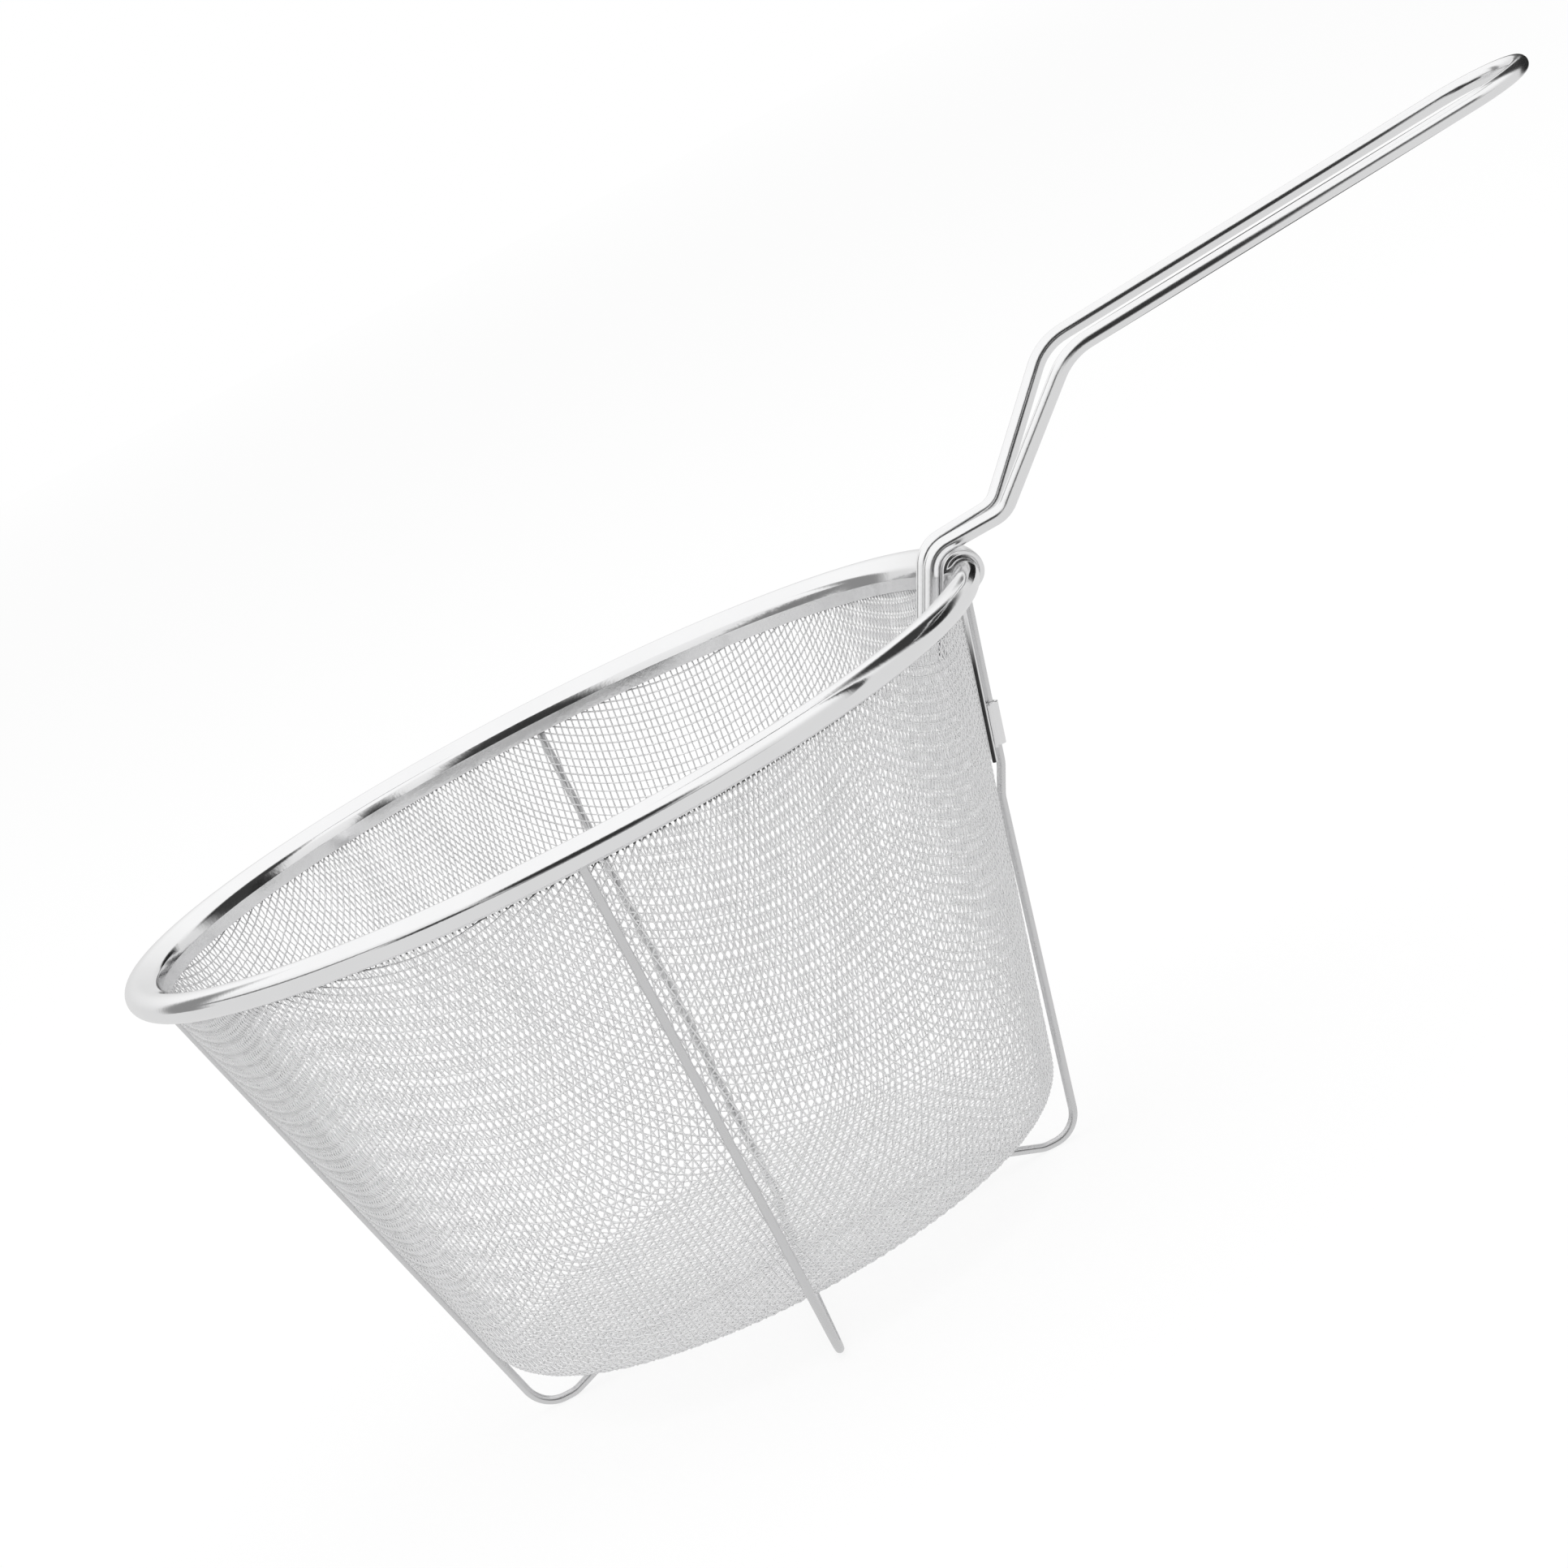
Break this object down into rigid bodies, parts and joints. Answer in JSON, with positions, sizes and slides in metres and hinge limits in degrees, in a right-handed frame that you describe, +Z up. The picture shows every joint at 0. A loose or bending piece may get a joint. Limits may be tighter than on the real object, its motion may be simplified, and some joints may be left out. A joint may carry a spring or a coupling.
{
  "type": "oil strainer",
  "caption": "Deep tapered wire-net basket in a rolled rim, standing on bent wire feet, with a long cranked hairpin wire handle.",
  "frame": {"origin": "on the surface that it stands on, under the middle of its overall length and width", "axes": "+Z up along the basket's axis, +X from the basket towards the handle's end"},
  "size_m": [0.3858, 0.22, 0.1816],
  "materials": {
    "net": "woven stainless wire, lightly satin",
    "rim": "polished stainless sheet",
    "foot_wire": "drawn stainless wire",
    "strap": "polished stainless sheet",
    "clip": "stainless sheet",
    "handle": "polished stainless wire"
  },
  "bodies": {
    "root": {"basket_mesh": "net", "rim_band": "rim", "foot_wire_side": "foot_wire", "foot_wire_front": "foot_wire", "handle_strap": "strap", "strap_clip": "clip", "handle_wire": "handle"}
  },
  "joints": []
}
